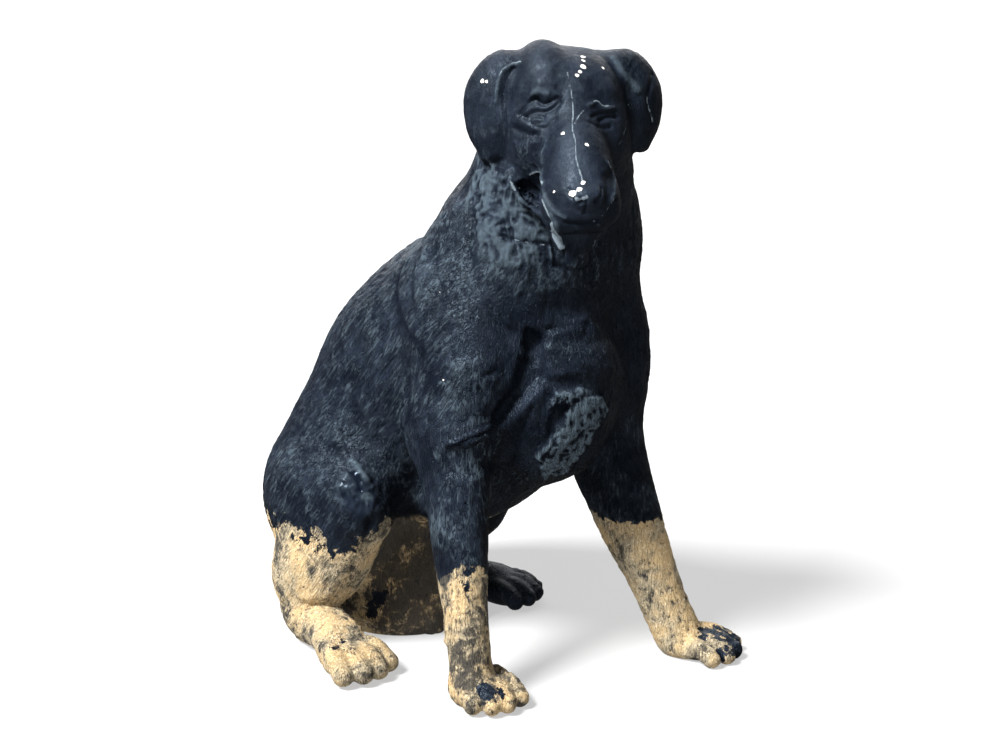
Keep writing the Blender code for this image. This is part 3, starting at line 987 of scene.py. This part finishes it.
class Wiring:
    """Short calls for a material's nodes: each makes a node, links its inputs and returns an output."""

    def __init__(self, name):
        self.material = bpy.data.materials.new(name)
        self.material.use_nodes = True
        self.tree = self.material.node_tree
        self.shader = self.tree.nodes["Principled BSDF"]
        self.place = self.tree.nodes.new("ShaderNodeTexCoord").outputs["Object"]

    def give(self, socket, value):
        if isinstance(value, bpy.types.NodeSocket):
            self.tree.links.new(value, socket)
        else:
            socket.default_value = value

    def marking(self, name):
        node = self.tree.nodes.new("ShaderNodeAttribute")
        node.attribute_name = name
        return node.outputs["Fac"]

    def stretched(self, scale, turn=(0, 0, 0)):
        node = self.tree.nodes.new("ShaderNodeMapping")
        self.give(node.inputs["Vector"], self.place)
        node.vector_type = "TEXTURE"
        node.inputs["Scale"].default_value = scale
        node.inputs["Rotation"].default_value = turn
        return node.outputs["Vector"]

    def noise(self, scale, detail=3.0, rough=0.55, warp=0.0, place=None):
        node = self.tree.nodes.new("ShaderNodeTexNoise")
        self.give(node.inputs["Vector"], place or self.place)
        node.inputs["Scale"].default_value = scale
        node.inputs["Detail"].default_value = detail
        node.inputs["Roughness"].default_value = rough
        node.inputs["Distortion"].default_value = warp
        return node.outputs["Fac"]

    def math(self, operation, *values):
        node = self.tree.nodes.new("ShaderNodeMath")
        node.operation = operation
        for socket, value in zip(node.inputs, values):
            self.give(socket, value)
        return node.outputs[0]

    def sum(self, *terms):
        """Each term is an output and its share, and a bare number is added as it is."""
        total = 0.0
        for term in terms:
            output, share = term if isinstance(term, tuple) else (term, 1.0)
            total = self.math("MULTIPLY_ADD", output, share, total)
        return total

    def mix_value(self, share, one, other):
        node = self.tree.nodes.new("ShaderNodeMix")
        self.give(node.inputs[0], share)
        self.give(node.inputs[2], one)
        self.give(node.inputs[3], other)
        return node.outputs[0]

    def step(self, value, low, high, to_low=0.0, to_high=1.0):
        node = self.tree.nodes.new("ShaderNodeMapRange")
        node.interpolation_type = "SMOOTHSTEP"
        self.give(node.inputs["Value"], value)
        for key, number in zip(("From Min", "From Max", "To Min", "To Max"), (low, high, to_low, to_high)):
            node.inputs[key].default_value = number
        return node.outputs["Result"]

    def mix(self, share, one, other):
        node = self.tree.nodes.new("ShaderNodeMix")
        node.data_type = "RGBA"
        self.give(node.inputs["Factor"], share)
        sockets = [socket for socket in node.inputs if socket.type == "RGBA"]
        self.give(sockets[0], one)
        self.give(sockets[1], other)
        return [socket for socket in node.outputs if socket.type == "RGBA"][0]

    def bump(self, height, distance, strength=1.0, over=None):
        node = self.tree.nodes.new("ShaderNodeBump")
        node.inputs["Strength"].default_value = strength
        node.inputs["Distance"].default_value = distance
        self.give(node.inputs["Height"], height)
        if over is not None:
            self.give(node.inputs["Normal"], over)
        return node.outputs["Normal"]


def worn_paint(paint):
    """Blue-black paint with a grey bloom, worn through to tan stone, chipped white in places. The bloom and
    the blue-black tone are painted fainter on the side turned away from the key light, furrows and hollows
    are painted darker as shade, and the bloom also carries painted highlights.

    Each share is a sum of markings and noises, cut by a smooth step.
    """
    w = Wiring("worn_black_paint")
    relief = w.marking("relief")
    broad = w.noise(24, 4, 0.6)
    medium = w.noise(95, 4, 0.62, 0.6)
    fine = w.noise(330, 3, 0.6)
    upright = w.noise(1, 2, 0.5, 0.5, w.stretched((0.003, 0.003, 0.017)))
    leaning = w.noise(1, 2, 0.5, 0.5, w.stretched((0.003, 0.003, 0.019), (0.64, 0, 0)))
    strand = w.mix_value(w.marking("combed"), upright, leaning)
    polished = w.marking("polished")
    furrow = w.mix_value(polished, w.step(w.math("ABSOLUTE", w.sum((strand, 1.0), -0.5)), 0.0, 0.05), 1.0)
    strand = w.mix_value(polished, strand, 0.5)

    gone = w.sum((w.marking("gone"), 1.0), (broad, 1.4), (medium, 1.4), (furrow, 0.22), (relief, 0.16), -1.6)
    gone = w.step(gone, -0.03, 0.07)
    left_in_hollows = w.step(w.sum((medium, 1.0), (relief, -0.12), (furrow, -0.18)), 0.52, 0.62)
    gone = w.math("MULTIPLY", gone, w.step(left_in_hollows, 0, 1, 1, 0.3))

    crumbs = w.step(medium, 0.36, 0.66)
    streaks = w.step(strand, 0.4, 0.62)
    bloom_and_painted_light = w.sum(
        (w.marking("bloom_and_painted_light"), 0.95), (relief, 0.5), (crumbs, 0.2), (streaks, 0.25), (furrow, 0.2), -0.57)
    bloom_and_painted_light = w.step(bloom_and_painted_light, 0, 0.95, 0, 0.85)
    # Broad blue-black patches, shown only on the side towards the key light: a faded tone with painted light.
    faded_on_lit_side = w.math("MULTIPLY", w.step(broad, 0.35, 0.7), w.marking("lit_side"))
    black = w.mix(faded_on_lit_side, (*paint.black, 1), (*paint.blue_black, 1))
    black = w.mix(bloom_and_painted_light, black, (*paint.bloom_and_painted_light, 1))
    # Painted shade: furrows and hollows are darkened to plain black.
    hollow_shade = w.sum((w.step(furrow, 0, 1, 0.55, 0), 1.0), (w.step(relief, -0.9, -0.05, 0.8, 0), 1.0))
    black = w.mix(hollow_shade, black, (*paint.black, 1))
    line = w.sum((w.marking("line"), 1.0), (medium, 0.3), (fine, 0.2), -0.25)
    black = w.mix(w.step(line, 0.86, 0.98, 0, 0.85), black, (*paint.pale_line, 1))

    stone = w.mix(w.step(broad, 0.36, 0.62), (*paint.stone, 1), (*paint.stone_grey, 1))
    stone = w.mix(w.step(fine, 0.5, 0.75), stone, (*paint.stone_pale, 1))
    dirt = w.sum(
        (w.marking("stain"), 1.1), (medium, 1.8), (broad, 1.6), (furrow, -0.3), (relief, -0.25), -1.57)
    stone = w.mix(w.step(dirt, 0.12, 0.7, 0, 0.92), stone, (*paint.stone_dark, 1))
    colour = w.mix(gone, black, stone)
    chip = w.step(w.sum((w.marking("chip"), 1.0), (medium, 0.7), (fine, 0.5), -0.6), 0.79, 0.87)
    colour = w.mix(chip, colour, (*paint.chip, 1))
    w.give(w.shader.inputs["Base Color"], colour)

    gloss = w.step(w.sum((medium, 0.7), (fine, 0.3)), 0.3, 0.7, paint.gloss_low, paint.gloss_high)
    shine = w.step(polished, 0.9, 1, 0, 1)
    dull = w.step(polished, 0, 0.8)
    bare = w.sum((gone, 0.5), (bloom_and_painted_light, 0.22), (chip, 0.3), (shine, -0.26), (dull, 0.05), (gloss, 1.0))
    w.give(w.shader.inputs["Roughness"], w.step(bare, 0, 1))
    w.shader.inputs["Metallic"].default_value = 0
    w.shader.inputs["Specular IOR Level"].default_value = 0.2
    w.shader.inputs["Specular Tint"].default_value = (0.66, 0.83, 1, 1)

    combed = w.bump(w.sum((furrow, 0.6), (strand, 1.2)), 0.0016, 0.9)
    grained = w.bump(fine, 0.0008, 0.45, combed)
    w.give(w.shader.inputs["Normal"], w.bump(w.sum((gone, -0.5), (medium, 0.25)), 0.0012, 0.6, grained))
    w.material.diffuse_color = (*paint.black, 1)
    return w.material


def colour(name, description, default):
    return bpy.props.FloatVectorProperty(
        name=name, description=description, default=default, subtype="COLOR", size=3, min=0, max=1)


def amount(name, description, default, **limits):
    return bpy.props.FloatProperty(name=name, description=description, default=default, **limits)


class StatuePaint(bpy.types.PropertyGroup):
    """The colours of the paint and of the stone under it."""

    black: colour("Black", "Paint in the smooth and shaded places", (0.003, 0.0048, 0.0095))
    # Blue-black shows only on the side towards the key light, as painted light.
    blue_black: colour("Blue-black", "Paint where it is faded a little", (0.011, 0.0155, 0.0255))
    # Bloom also paints the knee's highlight and the breast patch's pool of light.
    bloom_and_painted_light: colour("Bloom", "Chalky grey on the raised carving", (0.06, 0.082, 0.1))
    # The pale line also paints a highlight along the lower jaw's rim.
    pale_line: colour("Pale line", "The mould's seam and rubbed rims", (0.15, 0.185, 0.21))
    stone: colour("Stone", "The bare tan stone", (0.42, 0.3, 0.155))
    stone_grey: colour("Grey stone", "The bare stone where it is weathered", (0.27, 0.225, 0.15))
    stone_pale: colour("Pale stone", "Freshly worn grains", (0.58, 0.48, 0.32))
    stone_dark: colour("Dark stone", "Stains and paint left in the stone", (0.03, 0.027, 0.024))
    chip: colour("Chip", "Fresh white chips", (0.9, 0.86, 0.8))
    gloss_low: amount("Least roughness", "Paint at its shiniest", 0.38, min=0, max=1)
    gloss_high: amount("Most roughness", "Paint at its dullest", 0.56, min=0, max=1)


class StatueStudio(bpy.types.PropertyGroup):
    """The floor and the lights."""

    floor: colour("Floor", "Colour of the studio floor", (0.25, 0.25, 0.25))
    floor_width: amount("Floor width", "Side of the square floor", 80, unit="LENGTH")
    floor_glow: amount("Floor glow", "Light that the floor gives off, which thins the shadows", 0.5, min=0)
    key: amount("Key light", "Strength of the light beside the camera", 11, min=0)
    sun_turn: amount("Key turn", "Degrees from the camera round to its left, as a negative number", -54)
    sun_height: amount("Key height", "Degrees of the key light above the floor", 52, min=1, max=89)
    softness: amount("Softness", "Degrees across that the key light seems", 20, min=0, max=90)
    fill: amount("Fill", "Strength of the light behind the statue", 2.6, min=0)
    sky: amount("Surroundings", "Brightness all round", 0.12, min=0)


# The fill light, in degrees: round from the camera, above the floor, and across.
FILL_TURN = 180
FILL_HEIGHT = 32
FILL_WIDTH = 70
WALL_SIDES = 64
WALL_SHARE = 0.9  # of half the floor's width
SUN_AWAY = 3  # metres


def placed(name, data):
    """An object at the origin, in the scene."""
    made = bpy.data.objects.new(name, data)
    bpy.context.scene.collection.objects.link(made)
    return made


def staged(name, points, faces, tone, glow):
    """A matt part of the studio, in one tone and with a white glow."""
    mesh = bpy.data.meshes.new(name)
    mesh.from_pydata(points, [], faces)
    material = bpy.data.materials.new(name)
    material.use_nodes = True
    shader = material.node_tree.nodes["Principled BSDF"]
    shader.inputs["Base Color"].default_value = (*tone, 1)
    shader.inputs["Roughness"].default_value = 0.95
    shader.inputs["Specular IOR Level"].default_value = 0
    shader.inputs["Emission Color"].default_value = (1, 1, 1, 1)
    shader.inputs["Emission Strength"].default_value = glow
    mesh.materials.append(material)
    part = placed(name, mesh)
    return part


class STATUE_OT_carve_dog(bpy.types.Operator):
    """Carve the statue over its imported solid"""

    bl_idname = "statue.carve_dog"
    bl_label = "Carve the Dog"

    def execute(self, context):
        skin, marks = carve()
        points, shift = stand_over_solid(skin.points)
        dog = placed("dog_statue", new_mesh("dog_statue", points, skin.squares, marks))
        dog["shift"] = [float(value) for value in shift]
        thinned = dog.vertex_groups.new(name="thinned")
        face = marks["polished"] > 0.5
        thinned.add(np.flatnonzero(~face).tolist(), 1, "REPLACE")
        thinned.add(np.flatnonzero(face).tolist(), FACE_THINNING, "REPLACE")
        triangles = len(skin.squares) * 2
        if triangles > MOST_TRIANGLES:
            fewer = dog.modifiers.new("fewer_faces", "DECIMATE")
            fewer.ratio = MOST_TRIANGLES / triangles
            fewer.vertex_group = "thinned"
            with context.temp_override(object=dog, active_object=dog):
                bpy.ops.object.modifier_apply(modifier=fewer.name)
        dog.data.shade_smooth()
        if len(dog.data.polygons) >= TRIANGLE_LIMIT:
            raise RuntimeError("the statue has too many faces")
        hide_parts("dog")
        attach(dog, "root")
        return {"FINISHED"}


class STATUE_OT_paint_dog(bpy.types.Operator):
    """Paint the statue and wear its paint"""

    bl_idname = "statue.paint_dog"
    bl_label = "Paint the Dog"

    def execute(self, context):
        dog = bpy.data.objects["dog_statue"]
        dog.data.materials.clear()
        dog.data.materials.append(worn_paint(context.scene.statue_paint))
        return {"FINISHED"}


class STATUE_OT_set_studio(bpy.types.Operator):
    """Set up the floor, the lights and the camera"""

    bl_idname = "statue.set_studio"
    bl_label = "Set Up the Studio"

    def execute(self, context):
        studio = context.scene.statue_studio
        back = Vector(direction(CAMERA_ROUND, CAMERA_ABOVE))
        target = Vector(CAMERA_TARGET / 1000) + statue_shift()
        camera = placed("camera", bpy.data.cameras.new("camera"))
        camera.data.lens = CAMERA_LENS
        camera.data.sensor_width = SENSOR
        camera.location = target + back * CAMERA_AWAY / 1000
        camera.rotation_euler = back.to_track_quat("Z", "Y").to_euler()
        context.scene.camera = camera

        half = studio.floor_width / 2
        corners = [(-half, -half, 0), (half, -half, 0), (half, half, 0), (-half, half, 0)]
        floor = staged("studio_floor", corners, [(0, 1, 2, 3)], studio.floor, studio.floor_glow)
        # The black paint would otherwise be veiled by the white floor's reflection.
        floor.visible_glossy = False

        turns = np.linspace(0, math.tau, WALL_SIDES, endpoint=False)
        circle = np.stack([np.cos(turns), np.sin(turns), 0 * turns], 1) * half * WALL_SHARE
        here = np.arange(WALL_SIDES)
        after = (here + 1) % WALL_SIDES
        sides = np.stack([here, here + WALL_SIDES, after + WALL_SIDES, after], 1)
        ends = np.concatenate([circle - (0, 0, 1), circle + (0, 0, half)])
        wall = staged("studio_wall", ends.tolist(), sides.tolist(), (0, 0, 0), 1)
        # The wall is only seen: it neither lights the statue nor shades it.
        wall.visible_diffuse = False
        wall.visible_glossy = False
        wall.visible_shadow = False

        for name, turn, height, strength, width in (
            ("key_light", studio.sun_turn, studio.sun_height, studio.key, studio.softness),
            ("fill_light", FILL_TURN, FILL_HEIGHT, studio.fill, FILL_WIDTH),
        ):
            toward = Vector(direction(CAMERA_ROUND + turn, height))
            sun = placed(name, bpy.data.lights.new(name, "SUN"))
            sun.data.energy = strength
            sun.data.angle = math.radians(width)
            sun.location = target + toward * SUN_AWAY
            sun.rotation_euler = toward.to_track_quat("Z", "Y").to_euler()

        world = bpy.data.worlds.new("studio")
        world.use_nodes = True
        world.node_tree.nodes["Background"].inputs["Color"].default_value = (1, 1, 1, 1)
        world.node_tree.nodes["Background"].inputs["Strength"].default_value = studio.sky
        context.scene.world = world
        context.scene.view_settings.view_transform = "Standard"
        return {"FINISHED"}


class STATUE_PT_panel(bpy.types.Panel):
    """The statue's steps and settings"""

    bl_idname = "STATUE_PT_panel"
    bl_label = "Dog Garden Statue"
    bl_space_type = "VIEW_3D"
    bl_region_type = "UI"
    bl_category = "Statue"

    def draw(self, context):
        for step in STEPS:
            self.layout.operator(step.bl_idname)
        for settings in (context.scene.statue_paint, context.scene.statue_studio):
            box = self.layout.box()
            for name in settings.bl_rna.properties.keys():
                if name not in {"rna_type", "name"}:
                    box.prop(settings, name)


STEPS = (STATUE_OT_carve_dog, STATUE_OT_paint_dog, STATUE_OT_set_studio)
CLASSES = (StatuePaint, StatueStudio, *STEPS, STATUE_PT_panel)


def register():
    for cls in CLASSES:
        bpy.utils.register_class(cls)
    bpy.types.Scene.statue_paint = bpy.props.PointerProperty(type=StatuePaint)
    bpy.types.Scene.statue_studio = bpy.props.PointerProperty(type=StatueStudio)


def unregister():
    del bpy.types.Scene.statue_studio
    del bpy.types.Scene.statue_paint
    for cls in reversed(CLASSES):
        bpy.utils.unregister_class(cls)


def main():
    """Makes everything."""
    register()
    bpy.ops.statue.carve_dog()
    bpy.ops.statue.paint_dog()
    bpy.ops.statue.set_studio()


if __name__ == "__main__":
    main()
